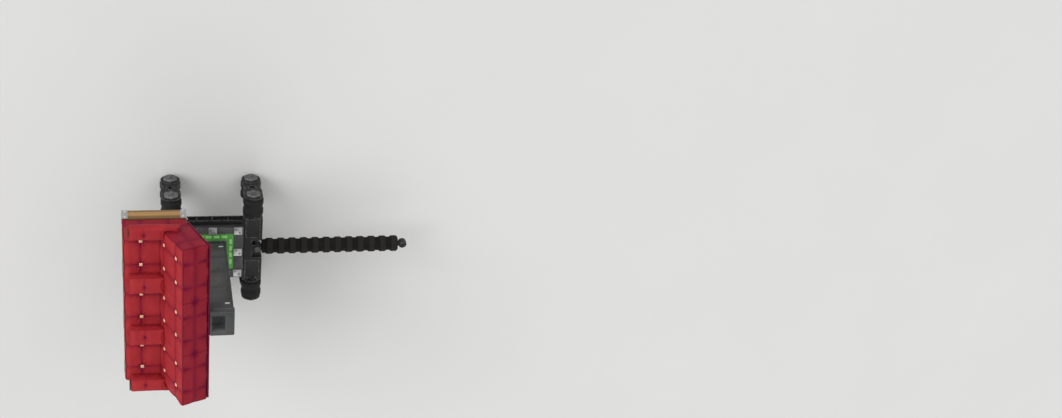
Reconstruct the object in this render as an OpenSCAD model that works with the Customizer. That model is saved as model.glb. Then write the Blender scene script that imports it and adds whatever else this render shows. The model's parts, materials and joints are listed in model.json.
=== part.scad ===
// Floorless roller coaster car with one bench of three seats.
// X runs across the car, the front faces -Y, and Z is up from the floor under the lower wheels.

/* [Bench] */
// Width of one seat, from joint to joint
seat_w = 600; // [480:5:700]
// Number of seats side by side
seats = 3; // [2:1:4]
// Depth of the bench base, front to back
base_d = 600; // [520:5:700]
// Height of the bench base
base_h = 158; // [120:1:200]
// Thickness of the wooden band round the base
band_t = 26; // [16:1:40]
// Height of the seat cushion above the base
seat_h = 148; // [100:1:200]
// Distance from the front of the bench to the foot of the backrest
back_y = 342; // [300:1:400]
// Length of the backrest along its slope
back_l = 510; // [420:5:620]
// Thickness of the back cushion
back_t = 276; // [120:1:300]
// Lean of the backrest
back_lean = 22.5; // [10:0.5:28]
// Thickness of the panel behind the back cushions
shell_t = 18; // [12:1:30]
// Width of an armrest between two seats
arm_w = 186; // [120:2:200]
// Height of an armrest above the seat
arm_h = 122; // [90:1:160]
// Distance that an end armrest reaches past the bench
arm_over = 54; // [30:1:80]
// Front of an armrest behind the front of the bench
arm_y = 60; // [30:1:100]
// Rear of an end armrest behind the front of the bench
arm_end = 528; // [440:1:560]

/* [Running gear] */
// Distance between the middles of the two rails
gauge = 1000; // [900:5:1060]
// Distance between the front and rear axles
wheelbase = 830; // [800:5:1000]
// Diameter of a wheel
wheel_d = 210; // [190:2:240]
// Width of a wheel
wheel_w = 180; // [140:2:200]
// Diameter of the rail tube that runs between the wheels
rail_d = 160; // [140:2:180]
// Depth of the hollow in each tread
hollow = 8; // [4:1:10]
// Gap between a tread and the rail
rail_gap = 2; // [1:0.5:4]
// Thickness of a tyre over its hub
tyre_t = 30; // [22:1:36]
// Diameter of an axle pin
pin_d = 50; // [40:1:60]
// Thickness of a wheel carrier plate
carrier_t = 22; // [14:1:28]
// Side gap between a wheel and its neighbours
side_gap = 8; // [6:0.5:12]

/* [Chassis] */
// Width of an axle beam, front to back
beam_w = 200; // [160:5:230]
// Height of an axle beam
beam_h = 120; // [100:5:150]
// Height of a side beam
rail_beam_h = 100; // [80:5:120]
// Width of a side beam
rail_beam_w = 50; // [40:2:70]
// Side of the square deck
deck_w = 600; // [540:5:620]
// Width of the rim round the deck
rim_w = 80; // [60:2:100]
// Height of the deck box
deck_h = 140; // [100:5:180]
// Height of the deck top above the axle pins
deck_rise = 107; // [80:1:140]

/* [Post] */
// Width of the post, across the car
post_w = 260; // [200:2:320]
// Depth of the post, front to back
post_d = 276; // [220:2:340]
// Height of the post above the deck
post_h = 1330; // [1000:5:1340]
// Height of the underside of the bench above the deck
bench_rise = 660; // [500:5:800]
// Front of the bench ahead of the front axle
bench_lead = 482; // [420:1:520]

/* [Coupling] */
// Diameter of a coupling pin
coupling_d = 40; // [30:1:50]
// Distance between the two pins of a drawbar
drawbar_l = 1560; // [1200:5:1800]
// Diameter over the bellows
bellows_d = 172; // [140:2:190]
// Distance between two folds of the bellows
fold = 121; // [80:1:150]

/* [Hidden] */
$fn = 96;

fit = 0.05;        // radial gap of a running fit
soft_gap = 0.5;    // gap between two soft pieces
slip = 0.3;        // gap on each sloping face of the back panel
eps = 1;           // overshoot of a cut
plate_t = 4;       // thickness of a metal cap on the band
channel_h = 40;    // height of a channel under the bench

// Heights above the floor
lower_z = wheel_d / 2;
upper_z = lower_z + wheel_d - 2 * hollow + rail_d + 2 * rail_gap;
deck_z = upper_z + deck_rise;
bench_z = deck_z + bench_rise;
seat_z = bench_z + base_h + seat_h;

// Places across and along the car, from the middle of the wheelbase
wheel_x = gauge / 2;
wheel_out = wheel_x + wheel_w / 2;
wheel_in = wheel_x - wheel_w / 2;
beam_end = wheel_in - side_gap;
carrier_x = wheel_out + side_gap;
axle_y = wheelbase / 2;
bench_y = -axle_y - bench_lead;
bench_w = seats * seat_w;
cap_t = 22;                                   // thickness of a hexagonal axle cap
cap_r = 76;                                   // radius over its corners
pin_ahead = 82;                               // front pin ahead of the front axle beam
pin_behind = 50;                              // rear pin behind the rear axle
front_pin_y = -axle_y - beam_w / 2 - pin_ahead;   // pin of the car ahead
rear_pin_y = axle_y + pin_behind;             // pin of the car's own drawbar
eye_r = 45;                                   // outer radius of a drawbar eye

// The origin lies under the middle of the whole car with its drawbar
front_end = bench_y - plate_t;
rear_end = rear_pin_y + drawbar_l + eye_r;
centre_y = (front_end + rear_end) / 2;

// Wheels: side of the car (left is +X), end of the car (front is -Y), height of the axle
LEFT = 1; RIGHT = -1; FRONT = -1; REAR = 1;

// Points of an arc round [x, y], from angle a to angle b in degrees
function arc(x, y, r, a, b, steps = 6) =
    [for (i = [0 : steps]) let (t = a + (b - a) * i / steps) [x + r * cos(t), y + r * sin(t)]];

module plate(w, h, r) {
    // Rectangle with round corners, centred
    square([w - 2 * r, h], center = true);
    square([w, h - 2 * r], center = true);
    for (x = [-1, 1], y = [-1, 1])
        translate([x * (w / 2 - r), y * (h / 2 - r)]) circle(r);
}

module along_x(length) {
    // Extrudes a drawing of Y and Z along X, centred
    rotate([90, 0, 90]) translate([0, 0, -length / 2]) linear_extrude(length) children();
}

module pin_x(d, x0, x1) {
    // Cylinder along X from x0 to x1
    translate([min(x0, x1), 0, 0]) rotate([0, 90, 0]) cylinder(d = d, h = abs(x1 - x0));
}

module placed() {
    translate([0, -centre_y, 0]) children();
}

module axle_beam_body() {
    // Box beam with round cheeks that carry the upper axle pins
    difference() {
        along_x(2 * beam_end - 2 * cheek_t) plate(beam_w, beam_h, 14);
        // Sunk panels between the welded edges, above and below
        for (s = [-1, 1], z = [-1, 1])
            translate([s * (beam_end + pocket_w / 2) / 2, 0, z * beam_h / 2])
                cube([beam_end - pocket_w / 2 - 3 * cheek_t, beam_w - 2 * beam_margin, 2 * sunk], center = true);
    }
    for (s = [-1, 1]) {
        pin_x(beam_w - 10, s * (beam_end - cheek_t), s * beam_end);
        pin_x(beam_h + 30, s * (beam_end - 2 * cheek_t), s * (beam_end - cheek_t));
    }
}
cheek_t = 24;      // thickness of the cheek at the end of an axle beam
sunk = 5;          // depth of a sunk panel

module front_axle_beam() color("#2f3033") placed()
    translate([0, -axle_y, upper_z]) axle_beam_body();

module rear_axle_beam() color("#2f3033") placed()
    translate([0, axle_y, upper_z])
        union() {
            difference() {
                axle_beam_body();
                // Pocket for the head of the drawbar
                translate([-pocket_w / 2, rear_pin_y - axle_y - pocket_r, -beam_h])
                    cube([pocket_w, beam_w, 2 * beam_h]);
            }
            translate([0, rear_pin_y - axle_y, 0]) coupler_lugs(-pocket_r);
        }
beam_margin = 28;  // width of the welded edges of an axle beam
pocket_w = 208;    // width of the pocket in the rear axle beam
pocket_r = 56;     // reach of the pocket ahead of its pin

module coupler_lugs(root_y) {
    // Upper and lower lug round a coupling pin, grown from a wall at root_y
    for (s = [-1, 1])
        translate([0, 0, s * (lug_gap + lug_t) / 2 - lug_t / 2])
            linear_extrude(lug_t) difference() {
                union() {
                    circle(r = eye_r);
                    translate([-eye_r, min(root_y, 0)]) square([2 * eye_r, abs(root_y)]);
                }
                circle(d = coupling_d);
            }
}
lug_t = 24;                    // thickness of a coupler lug
eye_h = 60;                    // height of a drawbar eye
lug_gap = eye_h + 12;          // height between two lugs

module side_beams() color("#2f3033") placed()
    for (s = [-1, 1])
        translate([s * (deck_w / 2 + rail_beam_w / 2), 0, upper_z])
            difference() {
                cube([rail_beam_w, wheelbase - beam_w, rail_beam_h], center = true);
                // Channel, open outward between its stiffeners
                for (k = [0 : bays - 1])
                    translate([s * web_t, (k - (bays - 1) / 2) * bay_l, 0])
                        cube([rail_beam_w, bay_l - web_t, rail_beam_h - 2 * web_t], center = true);
            }
bays = 4;                                // bays between the stiffeners of a side beam
bay_l = (wheelbase - beam_w) / bays;
web_t = 12;        // wall of a side beam

module wheel_carriers(s) {
    // Plates outboard of the rail: each holds the lower axle under the upper one
    for (e = [FRONT, REAR])
        translate([0, e * axle_y, 0]) {
            // Web with a hole at its waist
            translate([s * (carrier_x + (carrier_t - rib_t) / 2), 0, 0])
                along_x(carrier_t - rib_t) difference() {
                    carrier_outline(0);
                    translate([0, waist_z]) circle(d = waist_hole);
                }
            // Raised edge and bosses outside
            translate([s * (carrier_x + carrier_t - rib_t / 2), 0, 0])
                along_x(rib_t) {
                    difference() {
                        carrier_outline(0);
                        carrier_outline(rib_w);
                    }
                    for (z = [lower_z, upper_z])
                        translate([0, z]) circle(r = boss_r - rib_w / 2);
                    difference() {
                        translate([0, waist_z]) circle(d = waist_hole + 2 * rib_w);
                        translate([0, waist_z]) circle(d = waist_hole);
                    }
                }
            translate([0, 0, upper_z]) pin_x(pin_d, s * beam_end, s * (carrier_x + eps));
            translate([0, 0, lower_z]) {
                pin_x(pin_d, s * (beam_end - eps), s * (carrier_x + eps));
                pin_x(pin_d + 30, s * (beam_end - collar_t), s * beam_end);
            }
        }
}
boss_r = wheel_d / 2 - 7;   // radius of a boss of a carrier plate, just clear of the ground
waist_w = 2 * boss_r - 24;  // width of the plate at its waist
waist_hole = 60;   // hole at the waist
waist_r = 260;     // radius of the hollow in each side of the plate
waist_z = (upper_z + lower_z) / 2;
rib_t = 8;         // height of the plate's raised edge
rib_w = 12;        // width of the plate's raised edge

module carrier_outline(inset) {
    // Two bosses joined by straight sides that are hollowed to the waist
    difference() {
        union() {
            for (z = [lower_z, upper_z])
                translate([0, z]) circle(r = boss_r - inset);
            translate([inset - boss_r, lower_z])
                square([2 * (boss_r - inset), upper_z - lower_z]);
        }
        for (y = [-1, 1])
            translate([y * (waist_w / 2 + waist_r), waist_z]) circle(r = waist_r + inset);
    }
}
collar_t = 14;     // thickness of the collar at the inner end of a lower axle

module left_wheel_carriers() color("#26272a") placed() wheel_carriers(LEFT);
module right_wheel_carriers() color("#26272a") placed() wheel_carriers(RIGHT);

module axle_caps() color("#7d7f82") placed()
    for (s = [-1, 1], e = [FRONT, REAR], z = [upper_z, lower_z])
        translate([s * (carrier_x + carrier_t + cap_t / 2), e * axle_y, z])
            rotate([0, 90, 0]) cylinder(r = cap_r, h = cap_t, center = true, $fn = 6);

module deck_box() color("#2b2c2f") placed()
    translate([0, 0, deck_z - deck_h])
        difference() {
            translate([0, 0, deck_h / 2]) cube([deck_w, wheelbase - beam_w, deck_h], center = true);
            // Sunk fields between the ribs underneath
            for (x = [-1, 1], y = [-1, 1])
                translate([x * deck_w / 4, y * (wheelbase - beam_w) / 4, 0])
                    cube([deck_w / 2 - 40, (wheelbase - beam_w) / 2 - 40, 4 * sunk], center = true);
            // Seat of the panel
            translate([0, 0, deck_h - panel_drop - panel_t])
                linear_extrude(deck_h) square(deck_w - 2 * rim_w, center = true);
        }
panel_drop = 10;   // drop of the panel below the rim
panel_t = 16;      // thickness of the panel

module deck_panel() color("#4a8f3c") placed()
    translate([0, 0, deck_z - panel_drop - panel_t])
        linear_extrude(panel_t) square(deck_w - 2 * rim_w - 2, center = true);

module deck_brackets() color("#a3a4a4") placed()
    for (x = [-1, 0, 1], y = [-1, 0, 1])
        if (x != 0 || y != 0)
            translate([x * (deck_w - bracket_w) / 2, y * (deck_w - bracket_w) / 2, deck_z])
                linear_extrude(bracket_t) plate(bracket_w, bracket_w, 6);
bracket_w = 84;    // side of a deck bracket
bracket_t = 12;    // thickness of a deck bracket

// The backrest in a drawing of Y and Z, with its foot at the origin
function lean(l, q) = [
    bench_y + back_y + l * sin(back_lean) + q * cos(back_lean),
    seat_z + l * cos(back_lean) - q * sin(back_lean)
];

// Outline of the space that the backrest takes ahead of the post
bench_side = [
    lean(-post_h, back_t + shell_t + slip), lean(post_h, back_t + shell_t + slip),
    lean(post_h, -post_h), lean(-post_h, -post_h)
];

module post() color("#4c4d50") placed()
    difference() {
        translate([0, 0, deck_z - panel_drop])
            linear_extrude(post_h + panel_drop - cap_h) plate(post_w, post_d, 12);
        // Front cut back to the slope of the back panel
        along_x(2 * post_w) polygon(bench_side);
        // Sunk panels on both sides, between the welded edges
        for (s = [-1, 1], k = [0 : post_bays - 1])
            translate([s * post_w / 2, 0, deck_z + post_margin + (k + 0.5) * post_bay])
                cube([2 * sunk, post_d - 2 * post_margin, post_bay - post_margin], center = true);
        // Sunk panels behind
        for (k = [0 : post_bays - 1])
            translate([0, post_d / 2, deck_z + post_margin + (k + 0.5) * post_bay])
                cube([post_w - 2 * post_margin, 2 * sunk, post_bay - post_margin], center = true);
        well(post_h - cap_h - well_h, cap_h + well_h + eps);
    }
cap_h = 90;                  // height of the post's cap
post_margin = 34;            // width of the welded edges of the post
post_bays = 4;               // sunk panels up each side
post_head = 60;              // plain length below the cap
post_bay = (post_h - cap_h - 2 * post_margin - post_head) / post_bays;
well_side = 38;              // walls of the well in the top of the post, at its sides
well_front = 14;             // ahead of it, behind the back panel
well_rear = 80;              // and behind it
well_h = 60;                 // depth of the well below the cap

// Y of the rear face of the back panel at a height
function behind_back(z) = bench_y + back_y + (z - seat_z) * tan(back_lean)
    + (back_t + shell_t + slip) / cos(back_lean);

// The well, from a height above the deck
module well(z, h) {
    y = max(-post_d / 2, behind_back(deck_z + post_h)) + well_front;
    translate([well_side - post_w / 2, y, deck_z + z])
        cube([post_w - 2 * well_side, post_d / 2 - well_rear - y, h]);
}

module post_cap() color("#6f7073") placed()
    difference() {
        // Collar with a bead round its foot
        union() {
            translate([0, 0, deck_z + post_h - cap_h])
                linear_extrude(cap_h) plate(post_w + 2 * cap_proud, post_d + 2 * cap_proud, 14);
            translate([0, 0, deck_z + post_h - cap_h])
                linear_extrude(bead_h) plate(post_w + 4 * cap_proud, post_d + 4 * cap_proud, 16);
        }
        along_x(2 * post_w) polygon(bench_side);
        well(post_h - cap_h - eps, cap_h + 2 * eps);
    }
cap_proud = 4;                // the cap stands proud of the post
bead_h = 26;                 // height of the bead round the foot of the cap

module seat_bracket() color("#3a3b3e") placed() {
    // Two gussets under the bench, joined by a top plate and a nose plate
    for (x = [-1, 1])
        translate([x * (post_w / 2 - 20), 0, 0])
            along_x(gusset_t) difference() {
                polygon([
                    [-post_d / 2, bracket_z - top_t], [bracket_y, bracket_z - top_t],
                    [bracket_y, bracket_z - top_t - nose_h], [-post_d / 2, bracket_z - root_h]
                ]);
                // Lightening holes that shrink towards the nose
                for (hole = gusset_holes)
                    translate([-post_d / 2 - hole[0], bracket_z - top_t - hole[1]]) circle(d = hole[2]);
            }
    translate([-post_w / 2, bracket_y, bracket_z - top_t])
        cube([post_w, -post_d / 2 - bracket_y, top_t]);
    translate([-post_w / 2 + 12, bracket_y, bracket_z - top_t - nose_h])
        cube([post_w - 24, gusset_t, nose_h]);
    // Back plate against the post
    translate([-post_w / 2 + 12, -post_d / 2 - gusset_t, bracket_z - root_h])
        cube([post_w - 24, gusset_t, root_h - top_t]);
}
gusset_t = 16;     // thickness of a gusset
top_t = 14;        // thickness of the plate under the bench
nose_h = 50;       // height of a gusset at its nose
root_h = 280;      // height of a gusset at the post
// Holes in a gusset: distance ahead of the post, depth below the top plate, diameter
gusset_holes = [[110, 110, 120], [260, 86, 92], [380, 66, 68]];
bracket_in = 70;   // nose of the bracket behind the front of the bench
bracket_y = bench_y + bracket_in;
bracket_z = bench_z - channel_h;

module bench_channels() color("#303134") placed()
    for (y = [channel_in, base_d - channel_in - channel_w])
        translate([0, bench_y + y, bench_z - channel_h])
            difference() {
                translate([-channel_l / 2, 0, 0]) cube([channel_l, channel_w, channel_h]);
                translate([-channel_l, channel_t, -eps])
                    cube([2 * channel_l, channel_w - 2 * channel_t, channel_h - channel_t + eps]);
            }
channel_in = 90;   // channels under the bench, in from the front and rear of the base
channel_w = 80;
channel_end = 80;  // channels end short of the sides of the bench
channel_l = bench_w - 2 * channel_end;
channel_t = 8;

module bench_base() color("#303134") placed()
    translate([0, bench_y + base_d / 2, bench_z])
        difference() {
            translate([0, 0, base_h / 2])
                cube([bench_w - 2 * band_t, base_d - 2 * band_t, base_h], center = true);
            // Sunk fields underneath, ahead of, between and behind the channels
            for (k = [0 : seats - 1], y = [-1, 0, 1])
                translate([(k - (seats - 1) / 2) * seat_w, y * (base_d / 2 - channel_in / 2 - band_t / 4), 0])
                    cube([seat_w - 2 * field_in, y == 0 ? base_d - 2 * channel_in - 2 * channel_w - 30
                        : channel_in - band_t - 24, 4 * sunk], center = true);
        }

field_in = 45;     // margin of a sunk field under a seat

module bench_band() color("#b08a4e") placed()
    translate([0, bench_y + base_d / 2, bench_z + base_h / 2])
        difference() {
            cube([bench_w, base_d, base_h], center = true);
            cube([bench_w - 2 * band_t, base_d - 2 * band_t, base_h + 2 * eps], center = true);
        }

module band_caps() color("#9fa0a0") placed()
    translate([0, bench_y + base_d / 2, bench_z])
        difference() {
            // Joints between seats, then the four corners
            for (k = [0 : seats], y = [-1, 1])
                translate([(k - seats / 2) * seat_w, y * base_d / 2, base_h / 2])
                    cube([2 * cap_l, k == 0 || k == seats ? 2 * cap_l : 2 * plate_t, base_h], center = true);
            translate([0, 0, base_h / 2])
                cube([bench_w, base_d, base_h + 2 * eps], center = true);
            difference() {
                translate([-bench_w, -base_d, -eps]) cube([2 * bench_w, 2 * base_d, base_h + 2 * eps]);
                translate([0, 0, base_h / 2])
                    cube([bench_w + 2 * plate_t, base_d + 2 * plate_t, base_h + 4 * eps], center = true);
            }
        }
cap_l = 56;        // reach of a metal cap along the band

module seat_cushion(i) color("#a8323a") placed()
    translate([(i - (seats - 1) / 2) * seat_w, 0, 0])
        along_x(seat_w - 2 * soft_gap) polygon(concat(
            [[bench_y, bench_z + base_h]],
            arc(bench_y + nose_r, seat_z - nose_r, nose_r, 180, 90),
            [
                [bench_y + back_y, seat_z],
                [bench_y + base_d, seat_z - (base_d - back_y) * tan(back_lean)],
                [bench_y + base_d, bench_z + base_h]
            ]
        ));
nose_r = 36;       // radius of the front edge of a cushion

module back_cushion(i) color("#a8323a") placed()
    translate([(i - (seats - 1) / 2) * seat_w, 0, 0])
        along_x(seat_w - 2 * soft_gap) polygon(concat(
            [lean(soft_gap, back_t), lean(soft_gap, 0)],
            [for (p = arc(back_l - nose_r, nose_r, nose_r, -90, 0)) lean(p[0], p[1])],
            [for (p = arc(back_l - nose_r / 2, back_t - nose_r / 2, nose_r / 2, 0, 90)) lean(p[0], p[1])]
        ));

module left_seat_cushion() seat_cushion(seats - 1);
module middle_seat_cushion() seat_cushion(1);
module right_seat_cushion() seat_cushion(0);
module left_back_cushion() back_cushion(seats - 1);
module middle_back_cushion() back_cushion(1);
module right_back_cushion() back_cushion(0);

module back_panel() color("#303134") placed()
    along_x(bench_w - 30) polygon([
        lean(10, back_t + slip), lean(back_l - 12, back_t + slip),
        lean(back_l - 12, back_t + shell_t), lean(10, back_t + shell_t)
    ]);

module armrests() color("#a8323a") placed()
    for (k = [0 : seats]) {
        x = (k - seats / 2) * seat_w;
        outer = k == 0 ? -1 : k == seats ? 1 : 0;
        translate([x - outer * arm_w / 4, 0, 0])
            along_x(arm_w - abs(outer) * arm_w / 2) polygon(concat(
                [[bench_y + arm_y, seat_z + soft_gap]],
                arc(bench_y + arm_y + arm_r, seat_z + arm_h - arm_r, arm_r, 180, 90),
                [lean(arm_h / cos(back_lean), -soft_gap), lean(soft_gap, -soft_gap)]
            ));
        if (outer != 0)
            translate([x + outer * arm_over / 2, 0, 0])
                along_x(arm_over) polygon(concat(
                    [[bench_y + arm_end, seat_z + arm_lift], [bench_y + arm_y, seat_z + arm_lift]],
                    arc(bench_y + arm_y + arm_r, seat_z + arm_h - arm_r, arm_r, 180, 90),
                    arc(bench_y + arm_end - arm_r, seat_z + arm_h - arm_r, arm_r, 90, 0)
                ));
    }
arm_lift = 38;     // underside of the overhang of an end armrest above the seat
arm_r = 24;        // radius of the ends of an armrest

module armrest_fronts() color("#8a7a45") placed()
    for (s = [-1, 1])
        translate([s * (bench_w / 2 - 10), bench_y + arm_y - front_t / 2, seat_z + (arm_h + arm_lift) / 2])
            cube([arm_over + 30, front_t, arm_h - arm_lift - 16], center = true);
front_t = 16;      // thickness of the wooden front of an end armrest

module front_coupler() color("#3a3b3e") placed()
    translate([0, front_pin_y, upper_z]) {
        coupler_lugs(front_reach);
        // Foot against the front axle beam
        translate([-eye_r, front_reach - lug_t, -beam_h / 2])
            cube([2 * eye_r, lug_t, beam_h]);
    }
front_reach = -axle_y - beam_w / 2 - front_pin_y;

// The hub turns on its axle pin and carries the tyre
module hub(s, e, z) color("#55575a") placed()
    translate([s * wheel_x, e * axle_y, z]) rotate([0, 90, 0])
        rotate_extrude() {
            // Sleeve on the pin, web and rim
            translate([pin_d / 2 + fit, -wheel_w / 2]) square([sleeve_t, wheel_w]);
            translate([pin_d / 2 + fit, -web_w / 2]) square([rim_r - pin_d / 2 - fit, web_w]);
            polygon([
                [rim_r - rim_t, 0], [rim_r - rim_lip, -rim_l / 2], [rim_r, -rim_l / 2],
                [rim_r, rim_l / 2], [rim_r - rim_lip, rim_l / 2]
            ]);
        }
rim_r = wheel_d / 2 - tyre_t;      // radius of the hub under the tyre
rim_l = wheel_w - 12;              // length of the hub under the tyre
rim_t = 12;                        // wall of the rim at its web
rim_lip = 8;                       // wall of the rim at its ends
web_w = 60;                        // thickness of the web of a hub
sleeve_t = 14;                     // wall of the sleeve on the pin

module tyre(s, e, z) color("#1d1e20") placed()
    translate([s * wheel_x, e * axle_y, z]) rotate([0, 90, 0])
        rotate_extrude() difference() {
            // Section from the hub to the tread, with bevelled shoulders
            polygon([
                [rim_r, -tyre_l / 2], [wheel_d / 2 - bevel, -tyre_l / 2], [wheel_d / 2, bevel - tyre_l / 2],
                [wheel_d / 2, tyre_l / 2 - bevel], [wheel_d / 2 - bevel, tyre_l / 2], [rim_r, tyre_l / 2]
            ]);
            // Hollow that fits the rail tube
            translate([wheel_d / 2 - hollow + rail_d / 2, 0]) circle(d = rail_d);
        }
tyre_l = wheel_w - 4;              // width of a tyre
bevel = 6;                         // bevel on the shoulders of a tyre

module front_left_upper_tyre() tyre(LEFT, FRONT, upper_z);
module front_left_upper_hub() hub(LEFT, FRONT, upper_z);
module front_right_upper_tyre() tyre(RIGHT, FRONT, upper_z);
module front_right_upper_hub() hub(RIGHT, FRONT, upper_z);
module rear_left_upper_tyre() tyre(LEFT, REAR, upper_z);
module rear_left_upper_hub() hub(LEFT, REAR, upper_z);
module rear_right_upper_tyre() tyre(RIGHT, REAR, upper_z);
module rear_right_upper_hub() hub(RIGHT, REAR, upper_z);
module front_left_lower_tyre() tyre(LEFT, FRONT, lower_z);
module front_left_lower_hub() hub(LEFT, FRONT, lower_z);
module front_right_lower_tyre() tyre(RIGHT, FRONT, lower_z);
module front_right_lower_hub() hub(RIGHT, FRONT, lower_z);
module rear_left_lower_tyre() tyre(LEFT, REAR, lower_z);
module rear_left_lower_hub() hub(LEFT, REAR, lower_z);
module rear_right_lower_tyre() tyre(RIGHT, REAR, lower_z);
module rear_right_lower_hub() hub(RIGHT, REAR, lower_z);

module coupling_pin() color("#8a8b8c") placed()
    translate([0, rear_pin_y, upper_z - beam_h / 2]) {
        cylinder(d = coupling_d, h = beam_h);
        translate([0, 0, beam_h]) cylinder(d = coupling_d + 24, h = 10);
    }

module drawbar() color("#232427") placed()
    difference() {
        union() {
            for (y = [0, drawbar_l])
                translate([0, rear_pin_y + y, upper_z - eye_h / 2]) cylinder(r = eye_r, h = eye_h);
            translate([0, rear_pin_y + eye_r - 12, upper_z]) rotate([-90, 0, 0])
                cylinder(d = bar_d, h = drawbar_l - 2 * eye_r + 24);
        }
        for (y = [0, drawbar_l])
            translate([0, rear_pin_y + y, 0]) cylinder(d = coupling_d + 2 * fit, h = 2 * upper_z);
    }
bar_d = 54;        // diameter of the bar inside the bellows

module drawbar_bellows() color("#1b1a18") placed()
    translate([0, rear_pin_y + bellows_start, upper_z]) rotate([-90, 0, 0])
        rotate_extrude() polygon(concat(
            [[bar_d / 2, 0]],
            [for (i = [0 : folds - 1], p = fold_outline) [p[0], (i + p[1]) * fold]],
            [[bellows_d / 2 - fold_depth, folds * fold], [bar_d / 2, folds * fold]]
        ));
bellows_start = eye_r + 6;
folds = floor((drawbar_l - 2 * bellows_start) / fold);
fold_depth = 13;   // depth of a groove between two folds
// One fold of the bellows: radius, place along the fold
fold_outline = [
    [bellows_d / 2 - fold_depth, 0], [bellows_d / 2 - fold_depth, 0.30], [bellows_d / 2 - fold_depth / 4, 0.38],
    [bellows_d / 2, 0.46], [bellows_d / 2, 0.84], [bellows_d / 2 - fold_depth / 4, 0.92]
];

front_axle_beam();
rear_axle_beam();
side_beams();
left_wheel_carriers();
right_wheel_carriers();
axle_caps();
deck_box();
deck_panel();
deck_brackets();
post();
post_cap();
seat_bracket();
bench_channels();
bench_base();
bench_band();
band_caps();
left_seat_cushion();
middle_seat_cushion();
right_seat_cushion();
left_back_cushion();
middle_back_cushion();
right_back_cushion();
back_panel();
armrests();
armrest_fronts();
front_coupler();
front_left_upper_tyre();
front_left_upper_hub();
front_right_upper_tyre();
front_right_upper_hub();
rear_left_upper_tyre();
rear_left_upper_hub();
rear_right_upper_tyre();
rear_right_upper_hub();
front_left_lower_tyre();
front_left_lower_hub();
front_right_lower_tyre();
front_right_lower_hub();
rear_left_lower_tyre();
rear_left_lower_hub();
rear_right_lower_tyre();
rear_right_lower_hub();
coupling_pin();
drawbar();
drawbar_bellows();
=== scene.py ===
"""Looks of the floorless roller coaster car: tufted bench, wooden band, post, deck, wheels and drawbar."""

import json
import math

import bpy
import numpy as np
from mathutils import Matrix, Vector


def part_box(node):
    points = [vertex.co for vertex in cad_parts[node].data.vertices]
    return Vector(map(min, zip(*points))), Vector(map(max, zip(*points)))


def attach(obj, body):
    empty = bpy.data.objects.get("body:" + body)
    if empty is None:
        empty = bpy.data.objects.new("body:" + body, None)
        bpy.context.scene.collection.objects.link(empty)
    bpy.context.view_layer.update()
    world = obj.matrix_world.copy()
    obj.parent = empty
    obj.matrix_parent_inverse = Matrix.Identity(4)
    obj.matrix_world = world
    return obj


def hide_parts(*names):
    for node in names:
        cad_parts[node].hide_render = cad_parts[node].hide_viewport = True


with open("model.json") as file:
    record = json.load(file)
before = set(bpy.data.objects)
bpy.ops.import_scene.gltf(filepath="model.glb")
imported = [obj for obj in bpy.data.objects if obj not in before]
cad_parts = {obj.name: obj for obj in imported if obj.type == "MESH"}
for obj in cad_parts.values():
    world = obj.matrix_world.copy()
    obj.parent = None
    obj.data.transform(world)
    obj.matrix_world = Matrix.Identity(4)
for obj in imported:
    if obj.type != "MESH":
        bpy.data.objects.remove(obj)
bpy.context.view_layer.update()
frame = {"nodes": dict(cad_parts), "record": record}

NODES = frame["nodes"]
BODY_OF = {n: body for body, names in frame["record"]["behaviour"]["bodies"].items() for n in names}

# Places that the pieces share, in metres
SEATS = ("right", "middle", "left")
SEAT_WIDTH = 0.600
SEAT_LOW, SEAT_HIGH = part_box("middle_seat_cushion")
BENCH_FRONT, SEAT_TOP = SEAT_LOW.y, SEAT_HIGH.z
BAND_LOW, BAND_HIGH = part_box("bench_band")
DECK_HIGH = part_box("deck_box")[1]
POST_LOW, POST_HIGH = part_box("post")
CAP_LOW, CAP_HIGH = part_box("post_cap")
LEAN = math.radians(22.5)
BACK_SET = 0.342         # from the front of the bench to the foot of the backrest
FOOT = Vector((0, BENCH_FRONT + BACK_SET, SEAT_TOP))
UP_BACK = Vector((0, math.sin(LEAN), math.cos(LEAN)))
INTO_BACK = Vector((0, math.cos(LEAN), -math.sin(LEAN)))
BACK_LENGTH, BACK_THICKNESS = 0.510, 0.276
TUFT_COLUMN = 0.132      # from the middle of a seat to each of its two columns of tufts
SEAT_TUFT_ROW = 0.172    # from the front of the bench to the row of tufts
BACK_TUFT_ROWS = (0.083, 0.353)
WHEELS = [f"{e}_{s}_{h}" for e in ("front", "rear") for s in ("left", "right") for h in ("upper", "lower")]
FORWARDS, UP, DOWN = Vector((0, -1, 0)), Vector((0, 0, 1)), Vector((0, 0, -1))


def on_back(x, along, into):
    """Point of the backrest: up its slope and into its thickness."""
    return FOOT + Vector((x, 0, 0)) + UP_BACK * along + INTO_BACK * into


def middle_of(n):
    """Middle of a CAD node's box."""
    low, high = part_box(n)
    return (low + high) / 2


# Selecting and editing

def pick(*pieces):
    """Leaves only these pieces selected, the last one active."""
    if bpy.context.object and bpy.context.object.mode != "OBJECT":
        bpy.ops.object.mode_set(mode="OBJECT")
    bpy.ops.object.select_all(action="DESELECT")
    for piece in pieces:
        piece.select_set(True)
    bpy.context.view_layer.objects.active = pieces[-1]
    return pieces[-1]


def edit_faces(piece, test):
    """Enters edit mode with the faces selected that pass the test on their middle and normal."""
    pick(piece)
    bpy.ops.object.mode_set(mode="EDIT")
    bpy.ops.mesh.select_mode(type="FACE")
    bpy.ops.mesh.select_all(action="DESELECT")
    bpy.ops.object.mode_set(mode="OBJECT")
    for face in piece.data.polygons:
        face.select = bool(test(face.center, face.normal))
    bpy.ops.object.mode_set(mode="EDIT")


def edit_all(piece):
    pick(piece)
    bpy.ops.object.mode_set(mode="EDIT")
    bpy.ops.mesh.select_all(action="SELECT")


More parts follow.
